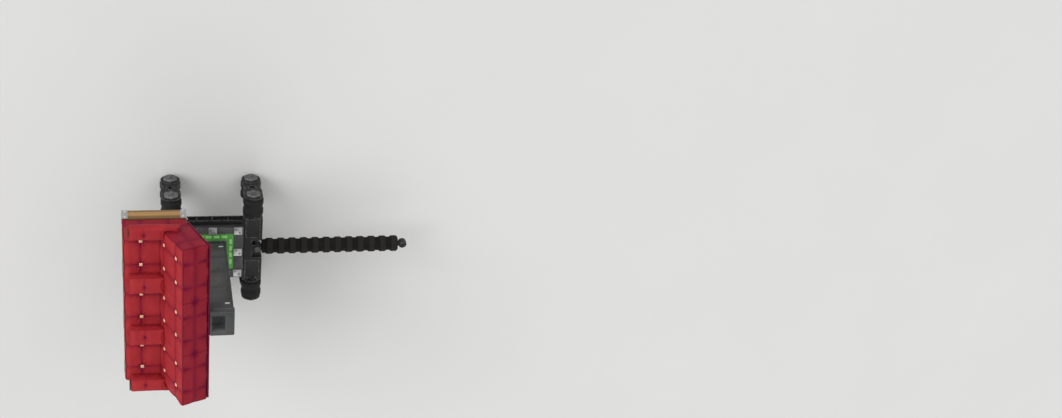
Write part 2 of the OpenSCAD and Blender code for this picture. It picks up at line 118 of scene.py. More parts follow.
def done(piece):
    """Leaves edit mode and puts the piece's place into its mesh."""
    pick(piece)
    bpy.ops.object.transform_apply(location=True, rotation=True, scale=True)
    return piece


def apply_modifier(piece, kind, **settings):
    pick(piece)
    modifier = piece.modifiers.new(kind.lower(), kind)
    for name, value in settings.items():
        setattr(modifier, name, value)
    bpy.ops.object.modifier_apply(modifier=modifier.name)


def smooth(piece, angle):
    pick(piece)
    bpy.ops.object.shade_smooth_by_angle(angle=math.radians(angle))


def dress(piece, *finishes):
    piece.data.materials.clear()
    for finish in finishes:
        piece.data.materials.append(finish)


def seat_on(piece, body, slot, *nodes):
    """Gives a finished piece its body and hides the nodes that it replaces. Its slot is not used."""
    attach(piece, body)
    if nodes:
        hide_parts(*nodes)
    return piece


def copy_of(model, place, name="copy"):
    """A copy with its own mesh, moved by a matrix."""
    piece = bpy.data.objects.new(name, model.data.copy())
    bpy.context.scene.collection.objects.link(piece)
    piece.data.transform(place)
    return piece


def join(pieces, name):
    piece = pick(*pieces)
    if len(pieces) > 1:
        bpy.ops.object.join()
    piece.name = piece.data.name = name
    return piece


def remove(piece):
    bpy.data.objects.remove(piece, do_unlink=True)


def facing(point, normal, turn=0.0):
    """Matrix that stands a piece on a surface at a point, its Z along the normal."""
    upright = Vector(normal).to_track_quat("Z", "Y").to_matrix().to_4x4()
    return Matrix.Translation(point) @ upright @ Matrix.Rotation(turn, 4, "Z")


def turned(point, angle, axis):
    return Matrix.Translation(point) @ Matrix.Rotation(angle, 4, axis)


def spread(model, matrices, name, slot, body="car"):
    """One finished piece of many copies of a model. The model itself goes."""
    piece = join([copy_of(model, matrix) for matrix in matrices], name)
    remove(model)
    return seat_on(piece, body, slot)


def tube(name, points, radius, sides=2, ripple=0.0, closed=False):
    """Round cord along points, as a mesh. A ripple swells it in steps, as a weld bead."""
    curve = bpy.data.curves.new(name, "CURVE")
    curve.dimensions = "3D"
    curve.bevel_depth, curve.bevel_resolution, curve.use_fill_caps = radius, sides, not closed
    spline = curve.splines.new("POLY")
    spline.points.add(len(points) - 1)
    for i, p in enumerate(points):
        spline.points[i].co = (*p, 1)
        spline.points[i].radius = 1 + ripple * (i % 2)
    spline.use_cyclic_u = closed
    piece = bpy.data.objects.new(name, curve)
    bpy.context.scene.collection.objects.link(piece)
    pick(piece)
    bpy.ops.object.convert(target="MESH")
    piece = bpy.context.object
    smooth(piece, angle=60)
    return piece


def stepped(a, b, step):
    """Points from a to b, about a step apart."""
    a, b = Vector(a), Vector(b)
    count = max(1, round((b - a).length / step))
    return [a.lerp(b, i / count) for i in range(count + 1)]


# Finishes

def node(finish, kind, **inputs):
    """A shader node. Each value goes to the socket of its name, or else to the setting of its name."""
    made = finish.node_tree.nodes.new("ShaderNode" + kind)
    for name, value in inputs.items():
        key = name.replace("_", " ")
        if key in made.inputs:
            made.inputs[key].default_value = value
        else:
            setattr(made, name, value)
    return made


def wire(finish, start, end):
    finish.node_tree.links.new(start, end)


def shader_of(finish):
    return finish.node_tree.nodes["Principled BSDF"]


def new_finish(name, colour, roughness, metallic=0.0, **inputs):
    finish = bpy.data.materials.new(name)
    finish.use_nodes = True
    shader = shader_of(finish)
    shader.inputs["Base Color"].default_value = (*colour, 1)
    shader.inputs["Roughness"].default_value = roughness
    shader.inputs["Metallic"].default_value = metallic
    for key, value in inputs.items():
        shader.inputs[key.replace("_", " ")].default_value = value
    finish.diffuse_color = (*colour, 1)
    return finish


def grey(value):
    return (value, value, value)


def colour_in(finish, colour, roughness=None):
    """Wires a colour, and a roughness if there is one, into the shader."""
    shader = shader_of(finish)
    wire(finish, colour, shader.inputs["Base Color"])
    if roughness:
        wire(finish, roughness, shader.inputs["Roughness"])


def place_of(finish, stretch=(1, 1, 1)):
    """The piece's own coordinates, stretched along an axis for brushed or grained patterns."""
    coordinates = node(finish, "TexCoord")
    mapping = node(finish, "Mapping", Scale=stretch)
    wire(finish, coordinates.outputs["Object"], mapping.inputs["Vector"])
    return mapping.outputs["Vector"]


def cloudy(finish, place, scale, detail, roughness=0.55, distortion=0.0):
    noise = node(finish, "TexNoise", Scale=scale, Detail=detail, Roughness=roughness, Distortion=distortion)
    wire(finish, place, noise.inputs["Vector"])
    return noise.outputs["Fac"]


def ramp(finish, value, stops):
    """Colour ramp from a value. Stops are (place, colour)."""
    made = node(finish, "ValToRGB")
    elements = made.color_ramp.elements
    while len(elements) < len(stops):
        elements.new(0.5)
    for element, (place, colour) in zip(elements, stops):
        element.position, element.color = place, (*colour, 1)
    wire(finish, value, made.inputs["Fac"])
    return made.outputs["Color"]


def grade(finish, value, low, high, start=0.3, end=0.7):
    """Maps a value from start..end to low..high."""
    made = node(finish, "MapRange")
    for key, number in (("From Min", start), ("From Max", end), ("To Min", low), ("To Max", high)):
        made.inputs[key].default_value = number
    wire(finish, value, made.inputs["Value"])
    return made.outputs["Result"]


def blend_colours(finish, factor, first, second):
    """Mixes two colours. Each is a socket or a plain colour."""
    made = node(finish, "Mix", data_type="RGBA")
    wire(finish, factor, made.inputs["Factor"])
    sockets = [s for s in made.inputs if s.type == "RGBA"]
    for socket, value in zip(sockets, (first, second)):
        if isinstance(value, tuple):
            socket.default_value = (*value, 1)
        else:
            wire(finish, value, socket)
    return next(s for s in made.outputs if s.type == "RGBA")


def rough_up(finish, heights):
    """Chains bump maps, each from (height, strength, distance), into the shader."""
    last = None
    for height, strength, distance in heights:
        bump = node(finish, "Bump", Strength=strength, Distance=distance)
        wire(finish, height, bump.inputs["Height"])
        if last:
            wire(finish, last, bump.inputs["Normal"])
        last = bump.outputs["Normal"]
    wire(finish, last, shader_of(finish).inputs["Normal"])


def leather(name, light, mid, dark):
    """Dyed hide with a fine grain. Its dark colour is painted shade, laid on by a point attribute of the
    piece.
    """
    finish = new_finish(name, mid, 0.54, Specular_IOR_Level=0.09)
    place = place_of(finish)
    clouds = cloudy(finish, place, 7.0, 5.0)
    hide = ramp(finish, clouds, [(0.32, mid), (0.66, light)])
    # Painted shade: the piece's point attribute mixes in the dark colour
    painted_shade = node(finish, "Attribute", attribute_name="painted_shade")
    colour = blend_colours(finish, painted_shade.outputs["Fac"], hide, dark)
    colour_in(finish, colour, grade(finish, clouds, 0.44, 0.60))
    grain = node(finish, "TexVoronoi", Scale=420.0)
    wire(finish, place, grain.inputs["Vector"])
    wrinkles = cloudy(finish, place, 38.0, 6.0, 0.6, 0.6)
    rough_up(finish, [(grain.outputs["Distance"], 0.22, 0.0008), (wrinkles, 0.30, 0.0022)])
    return finish


# How dark the oak band is at each share of its height: darker along its lower edge, and painted shade under
# the cushions
BAND_SHADE = ((0.0, 0.90), (0.16, 0.75), (0.22, 0.0), (0.60, 0.0), (0.65, 0.55), (0.80, 0.85), (1.0, 0.97))


def wood(name, stretch, light, mid, dark, low=None, high=None, gloss=0.25):
    """Varnished boards, grained along the axis of the least stretch. Between two heights they darken as
    BAND_SHADE gives, which is painted shade under the cushions.
    """
    finish = new_finish(name, mid, 0.42, Coat_Weight=gloss, Coat_Roughness=0.18, Specular_IOR_Level=0.3)
    place = place_of(finish, stretch)
    rings = node(finish, "TexWave", Scale=0.9, Distortion=4.0, Detail=3.0, Detail_Scale=1.2)
    wire(finish, place, rings.inputs["Vector"])
    fibre = cloudy(finish, place, 26.0, 8.0, 0.7)
    broad = ramp(finish, rings.outputs["Fac"], [(0.0, mid), (0.7, light)])
    colour = blend_colours(finish, grade(finish, fibre, 0.0, 0.42, 0.42, 0.70), broad, dark)
    if low is not None:
        height = node(finish, "SeparateXYZ")
        wire(finish, place_of(finish), height.inputs["Vector"])
        level = grade(finish, height.outputs["Z"], 0.0, 1.0, low, high)
        # Painted shade under the cushions, and a darker lower edge, from the band's ramp
        rim = ramp(finish, level, [(share, grey(shade)) for share, shade in BAND_SHADE])
        colour = blend_colours(finish, rim, colour, dark)
    colour_in(finish, colour, grade(finish, fibre, 0.30, 0.52))
    rough_up(finish, [(fibre, 0.25, 0.0012), (rings.outputs["Fac"], 0.12, 0.0015)])
    return finish


def coated(name, colour, shade, bare, wear, roughness=0.42, gloss=0.5):
    """Coated steel with cloudy colour. Wear lets patches of bare metal through."""
    finish = new_finish(name, colour, roughness, Specular_IOR_Level=gloss)
    place = place_of(finish)
    clouds = cloudy(finish, place, 5.0, 6.0, 0.62)
    fine = cloudy(finish, place, 60.0, 5.0, 0.6)
    paint = ramp(finish, clouds, [(0.34, shade), (0.64, colour)])
    chips = grade(finish, cloudy(finish, place, 42.0, 8.0, 0.68), 0.0, 1.0, 0.70 - wear, 0.74 - wear)
    dull = grade(finish, fine, roughness - 0.07, roughness + 0.12)
    colour_in(finish, blend_colours(finish, chips, paint, bare), dull)
    wire(finish, grade(finish, chips, 0.0, 0.75, 0.0, 1.0), shader_of(finish).inputs["Metallic"])
    rough_up(finish, [(fine, 0.25, 0.0008), (clouds, 0.10, 0.003)])
    return finish


def bright_steel(name, light, dark, stretch, roughness=0.36):
    """Bare steel, brushed along one axis, with stains."""
    finish = new_finish(name, light, roughness, metallic=0.65)
    brushed = cloudy(finish, place_of(finish, stretch), 30.0, 6.0, 0.7)
    stains = cloudy(finish, place_of(finish), 9.0, 6.0, 0.65)
    sheen = ramp(finish, brushed, [(0.3, dark), (0.7, light)])
    colour = blend_colours(finish, grade(finish, stains, 0.0, 0.6, 0.5, 0.72), sheen, dark)
    colour_in(finish, colour, grade(finish, stains, roughness - 0.08, roughness + 0.2))
    rough_up(finish, [(brushed, 0.18, 0.0006), (stains, 0.15, 0.0015)])
    return finish


def rubber(name, colour, dusty):
    finish = new_finish(name, colour, 0.72, Specular_IOR_Level=0.18)
    place = place_of(finish)
    clouds = cloudy(finish, place, 8.0, 6.0, 0.6)
    fine = cloudy(finish, place, 180.0, 4.0, 0.6)
    dusted = ramp(finish, clouds, [(0.38, colour), (0.75, dusty)])
    colour_in(finish, dusted, grade(finish, clouds, 0.62, 0.84))
    rough_up(finish, [(fine, 0.3, 0.0006)])
    return finish


def hammered(name, light, dark):
    """Soft peach metal, lightly beaten, with lighter and darker patches at random."""
    finish = new_finish(name, light, 0.32, metallic=0.15, Coat_Weight=0.3, Coat_Roughness=0.12)
    place = place_of(finish)
    beaten = node(finish, "TexVoronoi", Scale=260.0)
    wire(finish, place, beaten.inputs["Vector"])
    stains = cloudy(finish, place, 90.0, 4.0)
    rubbed = ramp(finish, stains, [(0.30, dark), (0.60, light)])
    colour_in(finish, rubbed, grade(finish, stains, 0.26, 0.42))
    rough_up(finish, [(beaten.outputs["Distance"], 0.25, 0.0008)])
    return finish


def studio_paper(name, colour, shade):
    finish = new_finish(name, colour, 0.8, Specular_IOR_Level=0.1)
    clouds = cloudy(finish, place_of(finish), 0.6, 3.0)
    colour_in(finish, ramp(finish, clouds, [(0.3, shade), (0.7, colour)]))
    return finish


# Colours of the sleeve from the foot of a fold to its crest, the depth of the folds, and its dust
FOLD_COLOURS = [(0.0, (0.0190, 0.0172, 0.0145)), (0.35, (0.0062, 0.0055, 0.0046)),
                (0.8, (0.0086, 0.0077, 0.0064)), (1.0, (0.0190, 0.0175, 0.0150))]
FOLD_DEPTH = 0.019
SLEEVE_DUST = (0.026, 0.024, 0.020)


def bellows_rubber():
    """Ribbed sleeve: brown black, worn lighter on the crests of its folds and dusty between them."""
    finish = new_finish("sleeve_rubber", (0.010, 0.0088, 0.0072), 0.74, Specular_IOR_Level=0.12)
    low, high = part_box("drawbar_bellows")
    axis_z, crest = (low.z + high.z) / 2, (high.x - low.x) / 2
    coordinates = node(finish, "TexCoord")
    centred = node(finish, "Mapping", Location=(0, 0, -axis_z), Scale=(1, 0, 1))
    wire(finish, coordinates.outputs["Object"], centred.inputs["Vector"])
    radius = node(finish, "VectorMath", operation="LENGTH")
    wire(finish, centred.outputs["Vector"], radius.inputs[0])
    place = place_of(finish)
    clouds = cloudy(finish, place, 14.0, 6.0, 0.65)
    height = grade(finish, radius.outputs["Value"], 0.0, 1.0, crest - FOLD_DEPTH, crest)
    folds = ramp(finish, height, FOLD_COLOURS)
    colour = blend_colours(finish, grade(finish, clouds, 0.0, 0.45, 0.5, 0.8), folds, SLEEVE_DUST)
    colour_in(finish, colour)
    rough_up(finish, [(cloudy(finish, place, 160.0, 4.0), 0.3, 0.0006)])
    return finish


# Hides and boards: light, middle and dark colour. On the hides the dark colour is painted shade.
RED = leather("red_hide", (0.430, 0.033, 0.039), (0.355, 0.023, 0.031), (0.160, 0.001, 0.027))
PIPING = leather("wine_piping", (0.19, 0.010, 0.022), (0.15, 0.008, 0.018), (0.07, 0.004, 0.010))
WINE = leather("wine_panel", (0.190, 0.009, 0.044), (0.145, 0.007, 0.034), (0.06, 0.003, 0.016))
OAK = ((0.600, 0.325, 0.096), (0.455, 0.236, 0.062), (0.140, 0.072, 0.018))
DARK_OAK = ((0.125, 0.048, 0.026), (0.092, 0.035, 0.019), (0.048, 0.018, 0.010))
BOARD_ACROSS = wood("boards_across", (1.2, 14, 14), *OAK, BAND_LOW.z, BAND_HIGH.z)
BOARD_ALONG = wood("boards_along", (14, 1.2, 14), *OAK, BAND_LOW.z, BAND_HIGH.z)
ARM_WOOD = wood("arm_boards", (1.2, 14, 14), *DARK_OAK, gloss=0.0)

# Coats: colour, shade, what shows where they are worn through, and how far they are worn
BLACK = coated("black_coat", (0.0200, 0.0200, 0.0215), (0.0110, 0.0110, 0.0122),
               grey(0.15), 0.02, gloss=0.22)
BLACK_EDGE = coated("black_coat_edge", (0.036, 0.036, 0.038), (0.022, 0.022, 0.024),
                    grey(0.22), 0.20, gloss=0.3)
GREY = coated("grey_coat", (0.094, 0.096, 0.096), (0.042, 0.044, 0.045),
              grey(0.30), 0.03, roughness=0.48, gloss=0.35)
GREY_EDGE = coated("grey_coat_edge", (0.090, 0.092, 0.094), (0.062, 0.064, 0.066),
                   grey(0.26), 0.14, roughness=0.47)
GREY_RIM = coated("grey_coat_rim", (0.070, 0.072, 0.072), (0.036, 0.038, 0.038),
                  grey(0.26), 0.03, roughness=0.50, gloss=0.3)
AXLE_CAP = coated("axle_cap_coat", (0.138, 0.131, 0.134), (0.084, 0.080, 0.082),
                  grey(0.26), 0.06, roughness=0.5, gloss=0.3)
# Lighter coat for the shaded faces in the well of the post's top: painted light
WELL_PAINTED_LIGHT = coated("well_coat_painted_light", (0.165, 0.169, 0.173), (0.110, 0.113, 0.116),
              grey(0.22), 0.02, roughness=0.6, gloss=0.15)
# Tones of the deck coat by the way each face turns: a shaded copy for the ends and a lit copy for the top,
# painted shade and light
DECK_SIDE_SHADED_COPY = coated("deck_side_coat_shaded_copy", (0.046, 0.044, 0.049), (0.026, 0.025, 0.028),
                   grey(0.16), 0.03, roughness=0.55, gloss=0.25)
DECK_TOP_LIT_COPY = coated("deck_top_coat_lit_copy", (0.105, 0.103, 0.105), (0.062, 0.060, 0.062),
                  grey(0.24), 0.08, roughness=0.52, gloss=0.3)
GREEN = coated("green_coat", (0.120, 0.455, 0.070), (0.066, 0.305, 0.044),
               (0.10, 0.16, 0.08), 0.03, roughness=0.46)
GREEN_EDGE = coated("green_coat_edge", (0.10, 0.33, 0.06), (0.06, 0.22, 0.04),
                    (0.30, 0.34, 0.27), 0.2, roughness=0.46)
MARKER = coated("marker_green", (0.440, 0.840, 0.330), (0.330, 0.720, 0.240),
                (0.20, 0.42, 0.14), 0.03, roughness=0.34)

# Bare metals: light and dark colour, the stretch that brushes them, and roughness
STEEL = bright_steel("worn_steel", (0.57, 0.56, 0.56), (0.31, 0.305, 0.31), (1, 1, 10))
CAP_EDGE = bright_steel("cap_steel_edge", (0.34, 0.34, 0.345), (0.17, 0.17, 0.172), (1, 8, 8), 0.38)
BOLT_STEEL = bright_steel("bolt_steel", (0.40, 0.40, 0.40), (0.17, 0.17, 0.17), (1, 1, 1), 0.38)
PALE_BOLT = bright_steel("pale_bolt", (0.88, 0.87, 0.85), (0.58, 0.57, 0.56), (1, 1, 1), 0.40)
PIN_STEEL = bright_steel("pin_steel", (0.115, 0.115, 0.118), (0.050, 0.050, 0.052), (1, 1, 1), 0.44)
HUB_METAL = bright_steel("turned_hub", (0.16, 0.16, 0.165), (0.075, 0.075, 0.078), (9, 1, 1), 0.42)
PEACH = hammered("peach_stud", (0.97, 0.66, 0.42), (0.86, 0.50, 0.29))

TREAD = rubber("tread", (0.0125, 0.0125, 0.0135), (0.030, 0.029, 0.028))
SLEEVE = bellows_rubber()
FLOOR = studio_paper("studio_floor", (0.80, 0.80, 0.79), (0.785, 0.785, 0.775))

SLOT_FINISH = {
    "wood": ARM_WOOD, "light_steel": STEEL, "dark_steel": BLACK, "grey_steel": AXLE_CAP, "grey_paint": GREY,
    "green_paint": GREEN, "tyre": TREAD, "hub": HUB_METAL, "pin": PIN_STEEL, "bellows": SLEEVE,
    "upholstery": RED, "wine_cover": WINE,
}
EDGE_FINISH = {
    "dark_steel": BLACK_EDGE, "grey_paint": GREY_EDGE, "green_paint": GREEN_EDGE, "grey_steel": CAP_EDGE,
}
SLOT_OF = {s["node"]: s["material_slot"] for s in frame["record"]["subparts"]}


# Rigid parts: each CAD node merged, with rounded and worn edges

def merged_copy(name, n):
    """A copy of a CAD node, with its triangles merged into whole faces."""
    piece = join([copy_of(NODES[n], Matrix())], name)
    if piece.data.has_custom_normals:
        bpy.ops.mesh.customdata_custom_splitnormals_clear()
    edit_all(piece)
    bpy.ops.mesh.remove_doubles(threshold=0.00002)
    bpy.ops.mesh.dissolve_limited(angle_limit=math.radians(0.6))
    bpy.ops.object.mode_set(mode="OBJECT")
    return piece


def finished_node(n, edge):
    """A node's copy with rounded edges, which wear first."""
    piece = merged_copy(n + "_finished", n)
    slot = SLOT_OF[n]
    main = SLOT_FINISH[slot]
    dress(piece, main, EDGE_FINISH.get(slot, main))
    if edge:
        apply_modifier(piece, "BEVEL", width=edge, segments=2, limit_method="ANGLE",
                       angle_limit=math.radians(28), use_clamp_overlap=False, material=1)
    smooth(piece, angle=30)
    return seat_on(piece, BODY_OF[n], slot, n)


# Width of each node's rounded edges, in metres
RIGID_EDGES = {
    "front_axle_beam": 0.003, "rear_axle_beam": 0.003, "side_beams": 0.002,
    "left_wheel_carriers": 0.002, "right_wheel_carriers": 0.002, "axle_caps": 0.003,
    "deck_box": 0.003, "deck_panel": 0.002, "deck_brackets": 0.002,
    "post": 0.003, "post_cap": 0.003, "seat_bracket": 0.002, "bench_channels": 0.002, "bench_base": 0.002,
    "band_caps": 0.0012, "back_panel": 0.003, "armrest_fronts": 0.003, "front_coupler": 0.002,
    "coupling_pin": 0.002, "drawbar": 0.002, "drawbar_bellows": 0.0,
}
for wheel in WHEELS:
    RIGID_EDGES[wheel + "_tyre"] = 0.0025
    RIGID_EDGES[wheel + "_hub"] = 0.0015
FINISHED = {n: finished_node(n, edge) for n, edge in RIGID_EDGES.items()}


def refinish(n, finish, test, edges=False):
    """Gives the plain faces that pass the test another finish, and the worn edges too if asked."""
    piece = FINISHED[n]
    piece.data.materials.append(finish)
    for face in piece.data.polygons:
        if (edges or face.material_index == 0) and test(face.center, face.normal):
            face.material_index = len(piece.data.materials) - 1


WELL_SIDE, WELL_REAR, WELL_DEPTH = 0.038, 0.080, 0.060
NEAR = 0.001   # how far from a plane a point still counts as on it


def on_rim(c, _):
    """Outer faces of the post, round its sunk panels."""
    return abs(c.x) > POST_HIGH.x - NEAR or c.y > POST_HIGH.y - NEAR or c.y < POST_LOW.y + NEAR


def in_well(c, n):
    """Faces of the well in the post's top, apart from those that look forwards and up."""
    inside = abs(c.x) < POST_HIGH.x - WELL_SIDE + NEAR and c.y < POST_HIGH.y - WELL_REAR + NEAR
    deep = CAP_LOW.z - WELL_DEPTH - 2 * NEAR < c.z < CAP_HIGH.z - 4 * NEAR
    forwards_and_up = n.y < -0.3 and n.z > 0.1
    return inside and deep and not forwards_and_up


refinish("post", GREY_RIM, on_rim)
# Painted light: the shaded faces of the well in the post get the lighter coat
refinish("post", WELL_PAINTED_LIGHT, in_well, True)
refinish("post_cap", GREY_RIM, lambda c, n: True)
# Painted light: the shaded faces of the well in the cap get the lighter coat
refinish("post_cap", WELL_PAINTED_LIGHT, in_well, True)
# Painted shade on the deck box's ends and painted light on its top
refinish("deck_box", DECK_SIDE_SHADED_COPY, lambda c, n: abs(n.x) > 0.9)
refinish("deck_box", DECK_TOP_LIT_COPY, lambda c, n: n.z > 0.9 and c.z > DECK_HIGH.z - NEAR)


# Upholstery: filling, holding and tufting the covers

VOXEL = 0.010         # size of a cover's faces before it is subdivided
PRESSURE = 4.0
STAY_AT_EDGE = 0.25   # share of the inward pull that the stuffing lets through


def filled(name, n, shrink, along_row=1.0):
    """Evenly meshed copy of a soft node, stretched along the row and drawn in, so that it can swell."""
    piece = merged_copy(name, n)
    piece.data.transform(Matrix.Scale(along_row, 4, (1, 0, 0)))
    apply_modifier(piece, "REMESH", mode="VOXEL", voxel_size=VOXEL)
    edit_all(piece)
    bpy.ops.transform.shrink_fatten(value=-shrink)
    bpy.ops.object.mode_set(mode="OBJECT")
    return piece


def read_vertices(piece, what):
    flat = np.empty(len(piece.data.vertices) * 3)
    piece.data.vertices.foreach_get(what, flat)
    return flat.reshape(-1, 3)


def points_of(piece):
    return read_vertices(piece, "co")


def normals_of(piece):
    return read_vertices(piece, "normal")


def move_points(piece, points):
    piece.data.vertices.foreach_set("co", points.ravel())
    piece.data.update()


def step_up(value, low, high):
    """0 below low and 1 above high, with a smooth step between them."""
    t = np.clip((value - low) / (high - low), 0, 1)
    return t * t * (3 - 2 * t)


def swell(pieces, cap, frames=20):
    """Fills the covers by simulation, all at once, and keeps the result in their meshes."""
    before = [(points_of(p), normals_of(p)) for p in pieces]
    for piece in pieces:
        settings = piece.modifiers.new("fill", "CLOTH").settings
        settings.quality = 5
        settings.use_pressure = True
        settings.uniform_pressure_force = PRESSURE
        settings.effector_weights.gravity = 0
    for number in range(1, frames + 1):
        bpy.context.scene.frame_set(number)
    for piece, (start, outwards) in zip(pieces, before):
        pick(piece)
        bpy.ops.object.modifier_apply(modifier="fill")
        shift = points_of(piece) - start
        length = np.linalg.norm(shift, axis=1, keepdims=True)
        shift *= np.minimum(1, cap / np.maximum(length, 1e-9))
        rising = (shift * outwards).sum(axis=1, keepdims=True)
        share = STAY_AT_EDGE + (1 - STAY_AT_EDGE) * step_up(rising, -0.006, 0.004)
        move_points(piece, start + shift * share)
    bpy.context.scene.frame_set(1)


def hold_inside(piece, n, allowance, along_row):
    """Draws back what stands past the faces of the convex CAD solid, apart from an allowance by normal."""
    points = points_of(piece)
    planes = {}
    for face in NODES[n].data.polygons:
        key = tuple(round(c, 2) for c in face.normal)
        planes.setdefault(key, (np.array(face.center) * (along_row, 1, 1), np.array(face.normal)))
    for centre, normal in planes.values():
        past = (points - centre) @ normal - allowance(normal)
        points -= np.outer(np.maximum(past, 0), normal)
    move_points(piece, points)


PROUD, HELD_BACK = 0.003, -0.0008   # how far a cover may stand past the CAD where it shows, and elsewhere


def seat_allowance(normal):
    return PROUD if normal[2] > 0.5 or normal[1] < -0.5 else HELD_BACK


def back_allowance(normal):
    lifted = normal @ np.array(UP_BACK) > 0.5 or normal @ np.array(INTO_BACK) < -0.5
    return PROUD if lifted else HELD_BACK


# Seams and tufts of the row of seats, in metres. The outer seams lie past the ends of the covers.
SEAT_MIDDLES = tuple((i - 1) * SEAT_WIDTH for i in range(len(SEATS)))
SEAT_JOINTS = (-SEAT_WIDTH / 2, SEAT_WIDTH / 2)
ROW_END = 1.5 * SEAT_WIDTH
BACK_MIDDLE = BACK_THICKNESS / 2
COLUMNS = tuple(x + side * TUFT_COLUMN for x in SEAT_MIDDLES for side in (-1, 1))
COLUMN_SEAMS = (-ROW_END - 0.16, *COLUMNS, ROW_END + 0.16)
SEAT_ROW_SEAMS = (-0.07, SEAT_TUFT_ROW, 0.44)
SEAT_END_SEAMS = (-0.14, SEAT_TUFT_ROW, 0.43)
SEAT_HEIGHT_SEAMS = (-0.10, 0.28)
BACK_ROW_SEAMS = (-0.08, *BACK_TUFT_ROWS, 0.62)
BACK_DEPTH_SEAMS = (-0.10, BACK_MIDDLE, BACK_THICKNESS + 0.08)
COVER_GAP = 0.0005     # between a cover and its neighbour or its front

# Depths and widths of seams, joints, tufts and the pleats round a tuft, and SOFT_WIDTH, the width of the
# painted shade beside a seam
SEAM_DEPTH, CROWN_HEIGHT, CROWN_POWER = 0.009, 0.014, 0.70
LINE_DEPTH, LINE_WIDTH, SOFT_WIDTH = 0.0011, 0.008, 0.026
JOINT_DEPTH, JOINT_WIDTH = 0.0035, 0.007
TUFT_DEPTH, TUFT_WIDTH, TOP_DENT = 0.011, 0.030, 0.007
PLEATS, PLEAT_HEIGHT, PLEAT_RADIUS, PLEAT_WIDTH = 8, 0.0030, 0.046, 0.024

# Painted shade on the nose, the top of the backrest and the ends, how strongly the top and the ends are
# tufted, and how much painted shade the ends' seams get
NOSE_SHADE, TOP_SHADE, END_SHADE, ARM_END_SHADE = 0.24, 0.38, 0.50, 0.12
TOP_TUFTING, END_TUFTING, END_CREASE_SHADE = 0.6, 0.5, 0.7


def pillow(value, seams):
    """0 on a seam and 1 on the crown between two seams."""
    out = np.ones_like(value)
    for a, b in zip(seams, seams[1:]):
        t = (value - a) / (b - a)
        out = np.where((t >= 0) & (t <= 1), np.sin(np.pi * np.clip(t, 0, 1)), out)
    return out


def nearest(value, lines):
    return np.min([np.abs(value - line) for line in lines], axis=0)


def ridge(distance, width):
    return np.exp(-((distance / width) ** 2))


def tufted(across, along, column_seams, row_seams, tufts, weight, joints=SEAT_JOINTS):
    """How far each point moves along its normal, and how much painted shade it gets in the seams, joints,
    tuft dimples and between pleats.
    """
    crown = (pillow(across, column_seams) * pillow(along, row_seams)) ** CROWN_POWER
    to_seam = np.minimum(nearest(across, column_seams), nearest(along, row_seams))
    lines, soft = ridge(to_seam, LINE_WIDTH), ridge(to_seam, SOFT_WIDTH)
    joint = ridge(nearest(across, joints), JOINT_WIDTH) if joints else 0.0 * across
    move = -SEAM_DEPTH + CROWN_HEIGHT * crown - LINE_DEPTH * lines - JOINT_DEPTH * joint
    # Painted shade in the seams, the joints, the tuft dimples and between the pleats
    painted_shade = 0.08 * lines + 0.38 * soft + 0.20 * joint
    for tuft_across, tuft_along, depth in tufts:
        dx, dy = across - tuft_across, along - tuft_along
        radius, turn = np.hypot(dx, dy), np.arctan2(dy, dx)
        from_pleats = radius - PLEAT_RADIUS
        move -= depth * ridge(radius, TUFT_WIDTH)
        move += PLEAT_HEIGHT * ridge(from_pleats, PLEAT_WIDTH) * np.cos(PLEATS * turn + math.pi)
        painted_shade += 0.70 * ridge(radius, 0.034)
        painted_shade += 0.25 * ridge(from_pleats, 0.022) * np.clip(np.cos(PLEATS * turn), 0, 1)
    return move * weight, np.clip(painted_shade, 0, 1) * weight


# Keeps each point's painted shade as a point attribute, which the hide's finish reads
def paint_shade(piece, painted_shade):
    attribute = piece.data.attributes.new("painted_shade", "FLOAT", "POINT")
    attribute.data.foreach_set("value", np.clip(painted_shade, 0, 1).astype(np.float32))


def end_faces(normals):
    return step_up(np.abs(normals[:, 0]), 0.6, 0.95)


def tuft_seat(piece):
    """Tufts the top, the nose and the ends of the row of seat covers."""
    points, normals = points_of(piece), normals_of(piece)
    across, along, below = points[:, 0], points[:, 1] - BENCH_FRONT, SEAT_TOP - points[:, 2]
    top = step_up(normals[:, 2], 0.25, 0.8)
    nose = step_up(-normals[:, 1], 0.3, 0.85) * (1 - top)
    ends = end_faces(normals)
    tufts = [(c, SEAT_TUFT_ROW, TUFT_DEPTH) for c in COLUMNS]
    move, painted_shade = tufted(across, along, COLUMN_SEAMS, SEAT_ROW_SEAMS, tufts, top)
    front, front_painted_shade = tufted(across, below, COLUMN_SEAMS, SEAT_HEIGHT_SEAMS, [], nose)
    side, side_painted_shade = tufted(along, below, SEAT_END_SEAMS, SEAT_HEIGHT_SEAMS, [], ends, ())
    move_points(piece, points + normals * (move + front + END_TUFTING * side)[:, None])
    # Painted shade on the nose and the ends, on top of the painted shade in the seams
    shade = NOSE_SHADE * nose + END_SHADE * ends
    paint_shade(piece, painted_shade + front_painted_shade + END_CREASE_SHADE * side_painted_shade + shade)


